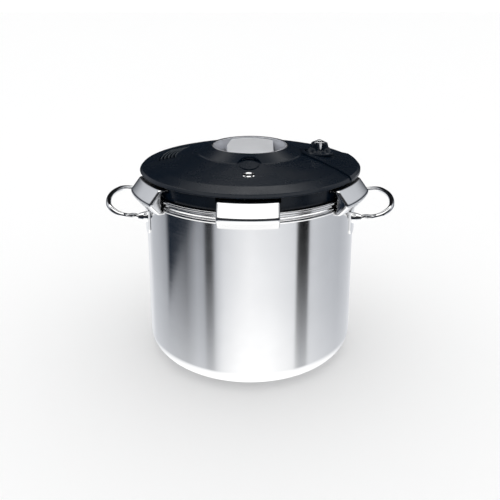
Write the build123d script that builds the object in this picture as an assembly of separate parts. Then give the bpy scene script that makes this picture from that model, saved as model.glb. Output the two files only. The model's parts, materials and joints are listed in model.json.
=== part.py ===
from build123d import *
import os
from math import atan, cos, degrees, radians, sin, sqrt

# Pressure canner. Millimetres, +Z up. Origin: centre of the base's underside. Front is -Y, handles on +-X.

# ---- driving dimensions ----
# pot
POT_INNER_R = 160.0
POT_WALL = 1.2
POT_RIM_Z = 258.0
POT_CORNER_R = 25.0
RIM_REACH = 5.8
RIM_BEAD_H = 6.0
BASE_T = 3.8
BASE_CAP_T = 0.8
# handles
HANDLE_ROD_R = 4.0
HANDLE_LEG_Y = 48.0
HANDLE_WIDEST_Y = 68.0
HANDLE_SHOULDER_Y = 52.0
HANDLE_NECK_L = 7.0
HANDLE_WIDEST_L = 19.0
HANDLE_SHOULDER_L = 47.0
HANDLE_TIP_L = 60.0
HANDLE_BENDS = [11.0, 16.0, 36.0, 130.0, 36.0, 16.0, 11.0]
HANDLE_TILT = 20.0
HANDLE_Z = 221.0
HANDLE_PLATE_T = 2.0
HANDLE_PLATE_H = 46.0
HANDLE_PLATE_SPREAD = 16.0
COLLAR_R = 8.0
COLLAR_TIP_R = 5.2
COLLAR_L = 9.0
# rack
RACK_Z = 30.0
RACK_T = 1.5
RACK_WALL_GAP = 12.0
RACK_HOLE_R = 5.5
RACK_HOLE_PITCH = 24.0
RACK_FOOT_R = 5.0
# lid
LID_SHEET = 2.4
LID_FLANGE_H = 11.2
LID_CROWN_H = 23.0
LID_CROWN_R = 126.0
LID_SLOPE_W = 22.0
SEAL_W = 4.7
# jaws
JAW_COUNT = 6
JAW_HALF_W = 41.5
JAW_SHEET = 3.0
JAW_TRAVEL = 13.0
JAW_BEND_REACH = 18.1
JAW_TOP_REACH = 2.1
JAW_WEB_T = 2.5
ARM_HALF_W = 20.0
ARM_NECK_R = 118.0
ARM_SHOULDER_R = 142.0
ARM_GAP = 1.0
LIP_GAP = 0.5
# cam and grip
GRIP_ANGLE = 50.0
PIN_R = 4.0
PIN_ORBIT_R = 54.0
CAM_R = 78.0
CAM_T = 3.0
GUIDE_R = 9.0
GUIDE_ORBIT_R = 113.0
STUD_R = 8.0
BUSH_WALL = 4.0
HUB_R = 34.0
HUB_H = 7.0
CUP_T = 1.5
CUP_FLOOR_R = 49.0
CUP_RIM_R = 57.0
BAR_HALF_W = 36.0
BAR_T = 2.5
BAR_DEPTH = 13.0
BAR_DROP = 2.0
# cover
COVER_T = 3.0
COVER_RIM_R = 169.5
COVER_RIM_H = 32.5
COVER_HOLE_R = 58.6
COVER_TOP_H = 66.0
COLLAR_EDGE_R = 80.0
COLLAR_FOOT_H = 54.8
COLLAR_STEP = 1.4
SHOULDER_R = 146.0
SHOULDER_H = 41.8
BROW_H = 36.5
SKIRT_R = 158.7
SKIRT_T = 2.5
POST_R = 4.0
POST_ORBIT_R = 112.0
POST_H = 17.0
POST_SPIGOT_H = 5.5
# fittings on the lid
VALVE_X = 107.0
VALVE_BODY_R = 13.0
VALVE_POST_R = 8.4
VALVE_SPIGOT_R = 7.0
KNOB_R = 21.6
KNOB_TOP_R = 13.0
KNOB_H = 17.5
KNOB_LOBES = 8
KNOB_LIFT = 1.6
SEAT_RIM = 2.6
PLUNGER_R = 5.0
PAD_RISE = 2.5
BUTTON_Y = -84.0
BUTTON_R = 13.4
BUTTON_PROUD = 1.2
BUTTON_NOTCH_R = 18.5
BUTTON_ROOM = 7.0
BUTTON_POCKET_H = 16.0
INDICATOR_PIN_R = 3.0
INDICATOR_HEAD_R = 6.0
INDICATOR_SPIGOT_R = 5.0
EYELET_R = 7.8
EYELET_LIP = 0.9
SAFETY_X = -107.0
SAFETY_R = 10.0
SAFETY_SPIGOT_R = 6.0
LOUVRE_COUNT = 5
LOUVRE_W = 2.2
LOUVRE_PITCH = 5.5
# clearances
TOUCH = 0.05
RUN = 0.08
FREE = 0.4
# how shapes are placed
FROM_BELOW = (Align.CENTER, Align.CENTER, Align.MIN)

# ---- sizes worked out from them ----
POT_R = POT_INNER_R + POT_WALL
RIM_R = POT_R + RIM_REACH
FLANGE_Z = POT_RIM_Z + LID_FLANGE_H
CROWN_Z = POT_RIM_Z + LID_CROWN_H
ARM_Z = CROWN_Z + ARM_GAP
ARM_TOP = ARM_Z + JAW_SHEET
CAM_Z = ARM_TOP + 2.0
CAM_TOP = CAM_Z + CAM_T
CUP_Z = CAM_TOP + HUB_H
COVER_RIM_Z = POT_RIM_Z + COVER_RIM_H
COVER_TOP_Z = POT_RIM_Z + COVER_TOP_H
CUP_RIM_Z = COVER_TOP_Z - 1.2
BAR_TOP = CUP_RIM_Z - BAR_DROP
JAW_AZIMUTHS = [-90.0 + 360.0 / JAW_COUNT * i for i in range(JAW_COUNT)]
POST_AZIMUTHS = [60.0, 120.0, 240.0, 300.0]
COVER_SLOPE = (COLLAR_FOOT_H - 0.5 * COLLAR_STEP - SHOULDER_H) / (SHOULDER_R - COLLAR_EDGE_R - 1.5)


def turned(points, radii=0.0, arc=360.0):
    """A solid of revolution about Z from its closed (radius, height) outline."""
    outline = FilletPolyline(*points, radius=radii, close=True)
    return revolve(Plane.XZ * make_face(outline.edges()), Axis.Z, revolution_arc=arc)


def tube(inner, outer, low, high):
    """A plain ring about Z."""
    return Pos(0, 0, low) * (
        Cylinder(outer, high - low, align=FROM_BELOW) - Cylinder(inner, high - low, align=FROM_BELOW)
    )


def disc(radius, low, high):
    """A plain round bar along Z."""
    return Pos(0, 0, low) * Cylinder(radius, high - low, align=FROM_BELOW)


def hex_nut(across_r, bore, low, high):
    """A hexagonal nut about Z."""
    body = extrude(RegularPolygon(across_r, 6), high - low)
    return Pos(0, 0, low) * body - disc(bore, low - 1, high + 1)


def coil(mean_r, wire_r, low, high, turns):
    """A helical compression spring about Z, between two heights."""
    rise = high - low - 2 * wire_r
    path = Helix(pitch=rise / turns, height=rise, radius=mean_r)
    start = path ^ 0
    return Pos(0, 0, low + wire_r) * sweep(Plane(start.position, z_dir=path % 0) * Circle(wire_r), path)


def around(azimuths, radius, shape):
    """Copies of a shape at a radius and a list of azimuths."""
    return [Rot(0, 0, a) * Pos(radius, 0, 0) * shape for a in azimuths]


def save(name, shape):
    """Writes one node; a list becomes a group of separate solids."""
    solids = shape if isinstance(shape, list) else [shape]
    flat = [s for item in solids for s in item.solids()]
    node = flat[0] if len(flat) == 1 else Compound(children=flat)
    node.label = name
    export_step(node, f"parts/{name}.step")


# ---- pot ----
def pot_body():
    bead_z = POT_RIM_Z - RIM_BEAD_H
    wall = turned(
        [(0, BASE_T), (POT_R, BASE_T), (POT_R, POT_RIM_Z), (POT_INNER_R, POT_RIM_Z),
         (POT_INNER_R, BASE_T + POT_WALL), (0, BASE_T + POT_WALL)],
        [0, POT_CORNER_R, 0, 0, POT_CORNER_R - POT_WALL, 0],
    )
    bead = turned(
        [(POT_R - 0.5, bead_z), (RIM_R, bead_z), (RIM_R, POT_RIM_Z), (POT_R - 0.5, POT_RIM_Z)],
        [0, 2.2, 2.2, 0],
    )
    return wall + bead


def base_core():
    radius = POT_R - POT_CORNER_R - BASE_CAP_T - 0.2
    return turned([(0, BASE_CAP_T), (radius, BASE_CAP_T), (radius, BASE_T), (0, BASE_T)], [0, 1.8, 0, 0])


def base_cap():
    outer = POT_R - POT_CORNER_R
    inner = outer - BASE_CAP_T
    dish = turned(
        [(0, 0), (outer, 0), (outer, BASE_T), (inner, BASE_T), (inner, BASE_CAP_T), (0, BASE_CAP_T)],
        [0, 2.5, 0, 0, 1.5, 0],
    )
    return dish


def handle_plate(side):
    low_r = POT_R + TOUCH
    half_h = 0.5 * HANDLE_PLATE_H
    ring = tube(low_r, low_r + HANDLE_PLATE_T, HANDLE_Z - half_h, HANDLE_Z + half_h)
    half_y = HANDLE_LEG_Y + HANDLE_PLATE_SPREAD
    window = Plane.YZ * RectangleRounded(2 * half_y, HANDLE_PLATE_H, 9.0)
    window = Pos(0, 0, HANDLE_Z) * extrude(window, POT_R + 20)
    plate = ring & window
    return plate if side > 0 else Rot(0, 0, 180) * plate


def leg_start():
    return sqrt((POT_R + HANDLE_PLATE_T) ** 2 - (HANDLE_LEG_Y - COLLAR_R) ** 2) + COLLAR_L


def handle_rod(side):
    """One loop of round rod, waisted at the collars and tilted up at its tip."""
    half = [(-0.3 * COLLAR_L, HANDLE_LEG_Y), (HANDLE_NECK_L, HANDLE_LEG_Y),
            (HANDLE_WIDEST_L, HANDLE_WIDEST_Y), (HANDLE_SHOULDER_L, HANDLE_SHOULDER_Y)]
    front = [(x, -y) for x, y in half]
    path = FilletPolyline(*front, (HANDLE_TIP_L, 0), *half[::-1], radius=HANDLE_BENDS)
    section = Plane(front[0] + (0,), x_dir=(0, 1, 0), z_dir=(1, 0, 0)) * Circle(HANDLE_ROD_R)
    rod = Pos(leg_start(), 0, HANDLE_Z) * Rot(0, -HANDLE_TILT, 0) * sweep(section, path)
    rod -= handle_collars()
    return rod if side > 0 else Rot(0, 0, 180) * rod


def handle_collars():
    foot = 20.0
    span = COLLAR_L + foot
    cone = Cone(COLLAR_R + (COLLAR_R - COLLAR_TIP_R) * foot / COLLAR_L, COLLAR_TIP_R, span, align=FROM_BELOW)
    cone = cone & Cylinder(COLLAR_R, span, align=FROM_BELOW)
    hull = disc(POT_R + TOUCH + HANDLE_PLATE_T, 0, FLANGE_Z)
    collars = []
    for turn in (0, 180):
        for y in (-HANDLE_LEG_Y, HANDLE_LEG_Y):
            boss = Pos(leg_start() - span, y, HANDLE_Z) * Rot(0, 90, 0) * cone
            collars.append(Rot(0, 0, turn) * (boss - hull))
    return collars


# ---- rack ----
def rack_plate():
    radius = POT_INNER_R - RACK_WALL_GAP
    plate = disc(radius, RACK_Z, RACK_Z + RACK_T)
    holes = [disc(RACK_HOLE_R, RACK_Z - 1, RACK_Z + RACK_T + 1)]
    rings = int((radius - RACK_HOLE_R - 6) / RACK_HOLE_PITCH)
    for ring in range(1, rings + 1):
        steps = [360.0 / (6 * ring) * i for i in range(6 * ring)]
        holes += around(steps, ring * RACK_HOLE_PITCH, holes[0])
    return plate - holes


def rack_feet():
    floor_z = BASE_T + POT_WALL + TOUCH
    foot = turned(
        [(0, floor_z), (RACK_FOOT_R, floor_z), (RACK_FOOT_R, RACK_Z), (0, RACK_Z)],
        [0, 1.0, 0, 0],
    )
    return around([30, 120, 210, 300], 4.5 * RACK_HOLE_PITCH, foot)


# ---- lid ----
def lid_holes():
    low, high = CROWN_Z - LID_SHEET - 2, CROWN_Z + 2
    return [
        Pos(VALVE_X, 0, 0) * disc(VALVE_SPIGOT_R + TOUCH, low, high),
        Pos(SAFETY_X, 0, 0) * disc(SAFETY_SPIGOT_R + TOUCH, low, high),
        Pos(0, -GUIDE_ORBIT_R, 0) * disc(INDICATOR_SPIGOT_R + TOUCH, low, high),
    ]


def lid_dome():
    seat = POT_RIM_Z + FREE
    under = CROWN_Z - LID_SHEET
    seal_in = RIM_R - 4.1 - SEAL_W
    seal_out = RIM_R - 4.1
    top = FLANGE_Z
    outline = [
        (0, CROWN_Z), (LID_CROWN_R, CROWN_Z), (LID_CROWN_R + LID_SLOPE_W, top - 0.4),
        (RIM_R - 6.5, top - 1.2), (RIM_R - 3.2, top),
        (RIM_R, top), (RIM_R, top - 2.8), (RIM_R - 2.4, top - 5.4),
        (RIM_R - 2.4, top - 7.6), (RIM_R - 0.4, top - 9.4), (RIM_R - 0.4, seat),
        (seal_out, seat), (seal_out, top - 4.2), (seal_in, top - 4.2), (seal_in, seat + 1.4),
        (seal_in - 1.8, seat + 1.4), (seal_in - 1.8, top - 2.9),
        (LID_CROWN_R + LID_SLOPE_W + 0.2, top - 2.8),
        (LID_CROWN_R - 0.4, under), (0, under),
    ]
    radii = [0, 8, 6, 3, 1.2, 1.2, 1.2, 1.5, 1.5, 0.8, 0.3, 0, 0.4, 0.4, 0.3, 0.3, 1.2, 5, 6, 0]
    return turned(outline, radii) - lid_holes()


def lid_seal():
    low, high = POT_RIM_Z + 0.1, FLANGE_Z - 4.2 - TOUCH
    outer = RIM_R - 4.1 - TOUCH
    inner = outer - SEAL_W + 2 * TOUCH
    return turned([(inner, low), (outer, low), (outer, high), (inner, high)], 1.4)


def pivot_stud():
    shoulder = CUP_Z + CUP_T + FREE
    return turned(
        [(0, CROWN_Z), (STUD_R + 6, CROWN_Z), (STUD_R + 6, CAM_Z - 0.3), (STUD_R, CAM_Z - 0.3),
         (STUD_R, shoulder), (STUD_R - 2, shoulder), (STUD_R - 2, shoulder + 9), (0, shoulder + 9)],
        [0, 0.5, 0.5, 0, 0, 0, 0.8, 0],
    )


def retaining_washer():
    low = CUP_Z + CUP_T + FREE
    return tube(STUD_R - 2 + TOUCH, STUD_R + BUSH_WALL + 4, low, low + 1.6)


def retaining_nut():
    low = CUP_Z + CUP_T + FREE + 1.6
    return hex_nut(STUD_R + 3, STUD_R - 2 + TOUCH, low, low + 5.5)


def guide_studs():
    head = ARM_TOP + FREE
    stud = turned(
        [(0, CROWN_Z), (GUIDE_R, CROWN_Z), (GUIDE_R, head), (GUIDE_R + 4, head), (GUIDE_R + 4, head + 2),
         (0, head + 2)],
        [0, 0, 0, 0.6, 0.6, 0],
    )
    return around(JAW_AZIMUTHS[1:], GUIDE_ORBIT_R, stud)


# ---- jaws ----
def jaw_section():
    """The bent strip's centre line: arm, upper leg, lower leg and lip."""
    half = 0.5 * JAW_SHEET
    lip_z = POT_RIM_Z - RIM_BEAD_H - LIP_GAP - half
    bend_r = RIM_R + JAW_BEND_REACH - 0.8
    bend_z = FLANGE_Z - 4.6
    line = FilletPolyline(
        (PIN_ORBIT_R - 8, ARM_Z + half), (RIM_R + JAW_TOP_REACH, ARM_Z + half), (bend_r, bend_z),
        (RIM_R + 5.0, lip_z), (RIM_R - 3.1, lip_z),
        radius=[5.0, 5.0, 4.0],
    )
    return Plane.XZ * trace(line, JAW_SHEET)


def jaw_web():
    """The end web's outline, scalloped to clear both rims."""
    lip_z = POT_RIM_Z - RIM_BEAD_H - LIP_GAP - 0.5 * JAW_SHEET
    points = [
        (RIM_R + JAW_TOP_REACH - 3, ARM_Z + 1.5), (RIM_R + JAW_TOP_REACH, ARM_Z + 1.5),
        (RIM_R + JAW_BEND_REACH - 2.6, FLANGE_Z - 4.6), (RIM_R + 5, lip_z), (RIM_R - 1.5, lip_z),
        (RIM_R + 1.6, POT_RIM_Z - 4.5), (RIM_R + 2.4, POT_RIM_Z + 1.5), (RIM_R + 1.6, FLANGE_Z - 5.5),
        (RIM_R + 3.4, FLANGE_Z - 1.5), (RIM_R + 1.6, FLANGE_Z + 6),
    ]
    return Plane.XZ * make_face(Polyline(*points, close=True).edges())


def jaw_blank():
    """One jaw lying along +X."""
    reach = RIM_R + JAW_BEND_REACH + 10
    inner = PIN_ORBIT_R - 8
    plan = FilletPolyline(
        (inner, -ARM_HALF_W), (ARM_NECK_R, -ARM_HALF_W), (ARM_SHOULDER_R, -JAW_HALF_W), (reach, -JAW_HALF_W),
        (reach, JAW_HALF_W), (ARM_SHOULDER_R, JAW_HALF_W), (ARM_NECK_R, ARM_HALF_W), (inner, ARM_HALF_W),
        radius=[4, 12, 12, 0, 0, 12, 12, 4], close=True,
    )
    tall = extrude(Pos(0, 0, POT_RIM_Z - 40) * make_face(plan.edges()), 80)
    strip = revolve(jaw_section(), Axis.Z, revolution_arc=120)
    strip = (Rot(0, 0, -60) * strip) & tall
    webs = Rot(0, 0, -60) * revolve(jaw_web(), Axis.Z, revolution_arc=120)
    inside = Box(reach, 2 * (JAW_HALF_W - JAW_WEB_T), 400)
    webs = (webs & tall) - Pos(0.5 * reach + 60, 0, POT_RIM_Z) * inside
    jaw = strip + webs
    slot_in = GUIDE_ORBIT_R - JAW_TRAVEL
    slot = SlotCenterToCenter(JAW_TRAVEL, 2 * (GUIDE_R + RUN))
    slot = Pos(0.5 * (slot_in + GUIDE_ORBIT_R), 0, ARM_Z - 1) * extrude(slot, JAW_SHEET + 2)
    rivet = Pos(PIN_ORBIT_R, 0, 0) * disc(PIN_R - 1.5 + TOUCH, ARM_Z - 1, ARM_TOP + 1)
    return jaw - slot - rivet


def jaw_pin():
    return turned(
        [(0, ARM_Z + 0.1), (PIN_R - 1.5, ARM_Z + 0.1), (PIN_R - 1.5, ARM_TOP), (PIN_R, ARM_TOP),
         (PIN_R, CAM_TOP + 0.6), (0, CAM_TOP + 0.6)],
        [0, 0, 0, 0, 0.5, 0],
    )


# ---- cam and grip ----
def spiral_slot():
    """A cam slot whose centre line's radius grows evenly with angle, so pin travel follows the grip."""
    margin = 1.5
    steps = 12
    growth = JAW_TRAVEL / GRIP_ANGLE
    angles = [-margin + (GRIP_ANGLE + 2 * margin) * i / steps for i in range(steps + 1)]
    spine = [(PIN_ORBIT_R + growth * a, radians(-a)) for a in angles]
    half = PIN_R + 0.25
    outer = [((r + half) * cos(t), (r + half) * sin(t)) for r, t in spine]
    inner = [((r - half) * cos(t), (r - half) * sin(t)) for r, t in spine]
    sides = [Spline(*outer), Line(outer[-1], inner[-1]), Spline(*inner[::-1]), Line(inner[0], outer[0])]
    slot = extrude(Pos(0, 0, CAM_Z - 1) * make_face(sides), CAM_T + 2)
    drill = disc(half, CAM_Z - 1, CAM_TOP + 1)
    ends = [Pos(r * cos(t), r * sin(t), 0) * drill for r, t in (spine[0], spine[-1])]
    return [slot] + ends


def cam_plate():
    plate = tube(STUD_R + BUSH_WALL + TOUCH, CAM_R, CAM_Z, CAM_TOP)
    for azimuth in JAW_AZIMUTHS:
        plate -= [Rot(0, 0, azimuth) * cut for cut in spiral_slot()]
    return plate


def pivot_bush():
    return tube(STUD_R + RUN, STUD_R + BUSH_WALL, CAM_Z, CUP_Z + CUP_T)


def grip_hub():
    return tube(STUD_R + BUSH_WALL + TOUCH, HUB_R, CAM_TOP, CUP_Z)


def grip_cup():
    floor_z = CUP_Z + 0.5 * CUP_T
    rim_z = CUP_RIM_Z - 0.5 * CUP_T
    hole_r = STUD_R + BUSH_WALL + 0.8
    line = FilletPolyline((hole_r, floor_z), (CUP_FLOOR_R, floor_z), (CUP_RIM_R, rim_z), radius=5.0)
    rim = tube(CUP_RIM_R - 1.0, CUP_RIM_R + 0.9, CUP_RIM_Z - 1.6, CUP_RIM_Z)
    return revolve(Plane.XZ * trace(line, CUP_T), Axis.Z) + rim


def bowl_space():
    """The room inside the cup, up to the bar's top."""
    middle_z = CUP_Z + 0.5 * CUP_T
    lean = (CUP_RIM_R - CUP_FLOOR_R) / (CUP_RIM_Z - 0.5 * CUP_T - middle_z)
    gap = 0.5 * CUP_T + TOUCH
    side = gap * sqrt(1 + lean**2)
    low_r = CUP_FLOOR_R - side + lean * gap
    high_r = CUP_FLOOR_R - side + lean * (BAR_TOP - middle_z)
    low_z = middle_z + gap
    return turned([(0, low_z), (low_r, low_z), (high_r, BAR_TOP), (0, BAR_TOP)], [0, 5.0, 0, 0])


def grip_bar():
    length = 2 * CUP_RIM_R
    bulge = 9.0
    tip_x = -BAR_HALF_W + bulge
    left = ThreePointArc((tip_x, length / 2), (-BAR_HALF_W, 0), (tip_x, -length / 2))
    right = Line((BAR_HALF_W, -length / 2), (BAR_HALF_W, length / 2))
    outline = [left, Line(left @ 1, right @ 0), right, Line(right @ 1, left @ 0)]
    plan = make_face(outline)
    block = extrude(Pos(0, 0, BAR_TOP - BAR_DEPTH) * plan, BAR_DEPTH)
    hollow_arc = ThreePointArc(
        (tip_x + BAR_T, length), (-BAR_HALF_W + BAR_T, 0), (tip_x + BAR_T, -length)
    )
    hollow_side = Line((BAR_HALF_W - BAR_T, -length), (BAR_HALF_W - BAR_T, length))
    closing = [Line(hollow_arc @ 1, hollow_side @ 0), Line(hollow_side @ 1, hollow_arc @ 0)]
    hollow = make_face([hollow_arc, hollow_side] + closing)
    hollow = extrude(Pos(0, 0, BAR_TOP - BAR_DEPTH - 1) * hollow, BAR_DEPTH + 1 - BAR_T)
    return (block - hollow) & bowl_space()


# ---- cover ----
def cover_outline():
    """The cover's outer line, from the hole over the collar's edge and the shoulder to the rim."""
    foot_z = POT_RIM_Z + COLLAR_FOOT_H
    return [
        (COVER_HOLE_R, COVER_TOP_Z), (COLLAR_EDGE_R, foot_z + 0.5 * COLLAR_STEP),
        (COLLAR_EDGE_R + 1.5, foot_z - 0.5 * COLLAR_STEP), (SHOULDER_R, POT_RIM_Z + SHOULDER_H),
        (COVER_RIM_R - 3.5, POT_RIM_Z + BROW_H), (COVER_RIM_R, COVER_RIM_Z),
    ]


def cover_fill(rise=0.0):
    """Everything under the cover's outer line, raised by some height."""
    line = [(r, z + rise) for r, z in cover_outline()]
    low = POT_RIM_Z
    return turned([(line[0][0], low)] + line + [(COVER_RIM_R, low)])


def slope_fill(rise=0.0):
    """Everything under the cover's plain slope, carried on inwards through the collar."""
    return turned([(0, POT_RIM_Z), (SHOULDER_R, POT_RIM_Z), (SHOULDER_R, on_cover(SHOULDER_R) + rise),
                   (0, on_cover(0) + rise)])


def on_cover(radius):
    """The height of the cover's plain slope at a radius."""
    edge = cover_outline()
    (r0, z0), (r1, z1) = edge[2], edge[3]
    return z0 + (z1 - z0) * (radius - r0) / (r1 - r0)


def cover_skin():
    line = cover_outline()
    under = [(r - 0.2, z - COVER_T) for r, z in line[:5]]
    under[0] = (COVER_HOLE_R, under[0][1])
    lip = [(COVER_RIM_R - 2.2, COVER_RIM_Z - 1.4), (under[4][0] - 1.5, under[4][1])]
    radii = [1.2, 1.0, 1.0, 9.0, 3.0, 1.0, 0.6, 1.0, 8.0, 1.0, 1.0, 0.6]
    return turned(line + lip + under[3::-1], radii)


def valve_pad():
    """The raised wedge that carries the valve, running out towards the rim."""
    plan = Polyline((80, -18), (110, -47), (146, -88), (172, -50), (172, 52), (104, 36), (80, 18), close=True)
    prism = extrude(Pos(0, 0, POT_RIM_Z) * make_face(plan.edges()), 100)
    raised = cover_fill(PAD_RISE) - disc(COLLAR_EDGE_R - 6, 0, 400)
    seat = Pos(VALVE_X, 0, 0) * disc(KNOB_R + SEAT_RIM, POT_RIM_Z, KNOB_SEAT_Z)
    above = ((raised & prism) + seat) - cover_fill(-0.5 * COVER_T)
    floor = Pos(VALVE_X, 0, 0) * disc(KNOB_R + SEAT_RIM, KNOB_SEAT_Z - COVER_T, KNOB_SEAT_Z)
    return above + (floor & cover_fill(-0.2))


def cover_shell():
    skirt = tube(SKIRT_R - SKIRT_T, SKIRT_R, FLANGE_Z - 0.3, POT_RIM_Z + BROW_H + 0.5 * COVER_T)
    opening = Box(30, 2 * (JAW_HALF_W + 2), JAW_SHEET + 5)
    opening = Pos(SKIRT_R, 0, ARM_Z + 0.5 * JAW_SHEET) * opening
    skirt -= [Rot(0, 0, a) * opening for a in JAW_AZIMUTHS]
    shell = cover_skin() + skirt + valve_pad()
    fill = cover_fill()
    boss = disc(POST_R + 4, CROWN_Z + POST_H, COVER_TOP_Z)
    for solid in around(POST_AZIMUTHS, POST_ORBIT_R, boss):
        shell += solid & fill
    plain = slope_fill()
    pocket = disc(BUTTON_R + 2.2, BUTTON_FLOOR - 1.5, COVER_TOP_Z)
    pocket += disc(BUTTON_NOTCH_R + 2.0, NOTCH_FLOOR, COVER_TOP_Z)
    shell += (Pos(0, BUTTON_Y, 0) * pocket) & plain
    cuts = [Pos(0, BUTTON_Y, 0) * disc(BUTTON_R + FREE, BUTTON_FLOOR, 400)]
    cuts += [(Pos(0, BUTTON_Y, 0) * disc(BUTTON_NOTCH_R, NOTCH_FLOOR, 400)) - plain]
    spigot_top = CROWN_Z + POST_H + POST_SPIGOT_H + 0.5
    cuts += around(POST_AZIMUTHS, POST_ORBIT_R, disc(POST_R + TOUCH, 0, spigot_top))
    cuts += [Pos(VALVE_X, 0, 0) * disc(VALVE_BODY_R + FREE, 0, 400)]
    cuts += [Pos(VALVE_X, 0, 0) * disc(KNOB_R + 2 * FREE, KNOB_SEAT_Z, 400)]
    cuts += [indicator_spot() * disc(EYELET_R + TOUCH, -8, 30)]
    cuts += louvres()
    return shell - cuts


BUTTON_FLOOR = POT_RIM_Z + COLLAR_FOOT_H - BUTTON_POCKET_H
NOTCH_FLOOR = on_cover(-BUTTON_Y) - 4.0


def louvres():
    """Concentric vent slots over the safety valve."""
    cuts = []
    for i in range(LOUVRE_COUNT):
        r = -SAFETY_X + 9 + LOUVRE_PITCH * i
        ring = turned([(r, 250), (r + LOUVRE_W, 250), (r + LOUVRE_W, 340), (r, 340)], 0.0, 38.0)
        cuts.append(Rot(0, 0, 150) * ring)
    return cuts


def cover_posts():
    shoulder = CROWN_Z + POST_H - TOUCH
    top = CROWN_Z + POST_H + POST_SPIGOT_H
    post = turned(
        [(0, CROWN_Z), (POST_R + 2.5, CROWN_Z), (POST_R + 2.5, shoulder), (POST_R, shoulder),
         (POST_R, top), (0, top)],
        [0, 0, 0.5, 0, 0.8, 0],
    )
    return around(POST_AZIMUTHS, POST_ORBIT_R, post)


# ---- operating valve ----
KNOB_Z = on_cover(VALVE_X) + KNOB_LIFT
POST_TOP = KNOB_Z + KNOB_H + 2.0
KNOB_SEAT_Z = KNOB_Z - 0.6
NEEDLE_SEAT_Z = CROWN_Z + 6.0


def valve_body():
    """Seat, spring chamber and dial post in one turned piece, bored for the plunger."""
    under = CROWN_Z - LID_SHEET
    outer = turned(
        [(0, under - 8), (VALVE_SPIGOT_R, under - 8), (VALVE_SPIGOT_R, CROWN_Z), (VALVE_BODY_R, CROWN_Z),
         (VALVE_BODY_R, KNOB_Z - 1.4), (VALVE_POST_R, KNOB_Z - 1.4), (VALVE_POST_R, POST_TOP), (0, POST_TOP)],
        [0, 0.8, 0, 0.8, 1.0, 0, 1.2, 0],
    )
    stem = disc(2.0, under - 10, NEEDLE_SEAT_Z)
    chamber = disc(PLUNGER_R + 1.2, NEEDLE_SEAT_Z, POST_TOP - 5)
    mouth = disc(PLUNGER_R - 1.2 + RUN, POST_TOP - 6, POST_TOP + 1)
    return Pos(VALVE_X, 0, 0) * (outer - [stem, chamber, mouth])


def valve_nut():
    under = CROWN_Z - LID_SHEET
    return Pos(VALVE_X, 0, 0) * hex_nut(VALVE_SPIGOT_R + 5, VALVE_SPIGOT_R + TOUCH, under - 6.5, under - 1.5)


def valve_seal():
    under = CROWN_Z - LID_SHEET
    return Pos(VALVE_X, 0, 0) * tube(VALVE_SPIGOT_R + TOUCH, VALVE_SPIGOT_R + 4, under - 1.5, under)


def valve_plunger():
    """Needle, collar for the spring, and the bright tip that stands out of the dial post."""
    seat = NEEDLE_SEAT_Z + 0.1
    return Pos(VALVE_X, 0, 0) * turned(
        [(0, seat), (PLUNGER_R, seat), (PLUNGER_R, seat + 4), (2.2, seat + 4), (2.2, POST_TOP - 7.6),
         (PLUNGER_R - 1.2, POST_TOP - 7.6), (PLUNGER_R - 1.2, POST_TOP + 2.4), (0, POST_TOP + 2.4)],
        [0, 0.4, 0.4, 0, 0, 0.3, 1.4, 0],
    )


def valve_spring():
    low = NEEDLE_SEAT_Z + 4.3
    return Pos(VALVE_X, 0, 0) * coil(4.8, 0.6, low, POST_TOP - 5.2, 6)


def valve_knob():
    """Scalloped dial that turns on the valve's post."""
    bore = VALVE_POST_R + 0.1
    top = KNOB_Z + KNOB_H
    body = turned(
        [(bore, KNOB_Z), (KNOB_R, KNOB_Z), (KNOB_R - 1.2, KNOB_Z + 5), (KNOB_TOP_R, top - 3),
         (KNOB_TOP_R - 2, top), (bore, top)],
        [0, 1.2, 3.0, 2.0, 1.0, 0.4],
    )
    flute = Pos(KNOB_R + 0.6, 0, KNOB_Z + 2.5) * Rot(0, -18, 0) * Cylinder(4.2, 40, align=FROM_BELOW)
    body -= [Rot(0, 0, 360.0 / KNOB_LOBES * (i + 0.5)) * flute for i in range(KNOB_LOBES)]
    return Pos(VALVE_X, 0, 0) * body


# ---- lock button ----
def lock_button():
    """Thumb button whose top follows the cover's slope, a little proud of it."""
    barrel = Pos(0, BUTTON_Y, 0) * disc(BUTTON_R, BUTTON_FLOOR + BUTTON_ROOM, COVER_TOP_Z + 10)
    return barrel & slope_fill(BUTTON_PROUD)


def lock_spring():
    return Pos(0, BUTTON_Y, 0) * coil(8.0, 0.6, BUTTON_FLOOR + TOUCH, BUTTON_FLOOR + BUTTON_ROOM - TOUCH, 3)


# ---- pressure indicator ----
INDICATOR_HEAD_Z = on_cover(GUIDE_ORBIT_R) - 2.6


def indicator_body():
    under = CROWN_Z - LID_SHEET
    head = ARM_TOP + FREE
    tube_top = INDICATOR_HEAD_Z - 0.4
    outer = turned(
        [(0, under - 7), (INDICATOR_SPIGOT_R, under - 7), (INDICATOR_SPIGOT_R, CROWN_Z), (GUIDE_R, CROWN_Z),
         (GUIDE_R, head), (GUIDE_R + 4, head), (GUIDE_R + 4, head + 2), (6, head + 2), (6, tube_top),
         (0, tube_top)],
        [0, 0.5, 0, 0, 0, 0.5, 0.5, 1.0, 0.5, 0],
    )
    bore = disc(INDICATOR_PIN_R + RUN, under - 9, tube_top + 2)
    return Pos(0, -GUIDE_ORBIT_R, 0) * (outer - bore)


def indicator_nut():
    under = CROWN_Z - LID_SHEET
    nut = hex_nut(INDICATOR_SPIGOT_R + 4, INDICATOR_SPIGOT_R + TOUCH, under - 5.5, under - 1.5)
    return Pos(0, -GUIDE_ORBIT_R, 0) * nut


def indicator_seal():
    under = CROWN_Z - LID_SHEET
    ring = tube(INDICATOR_SPIGOT_R + TOUCH, INDICATOR_SPIGOT_R + 3, under - 1.5, under)
    return Pos(0, -GUIDE_ORBIT_R, 0) * ring


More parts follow.
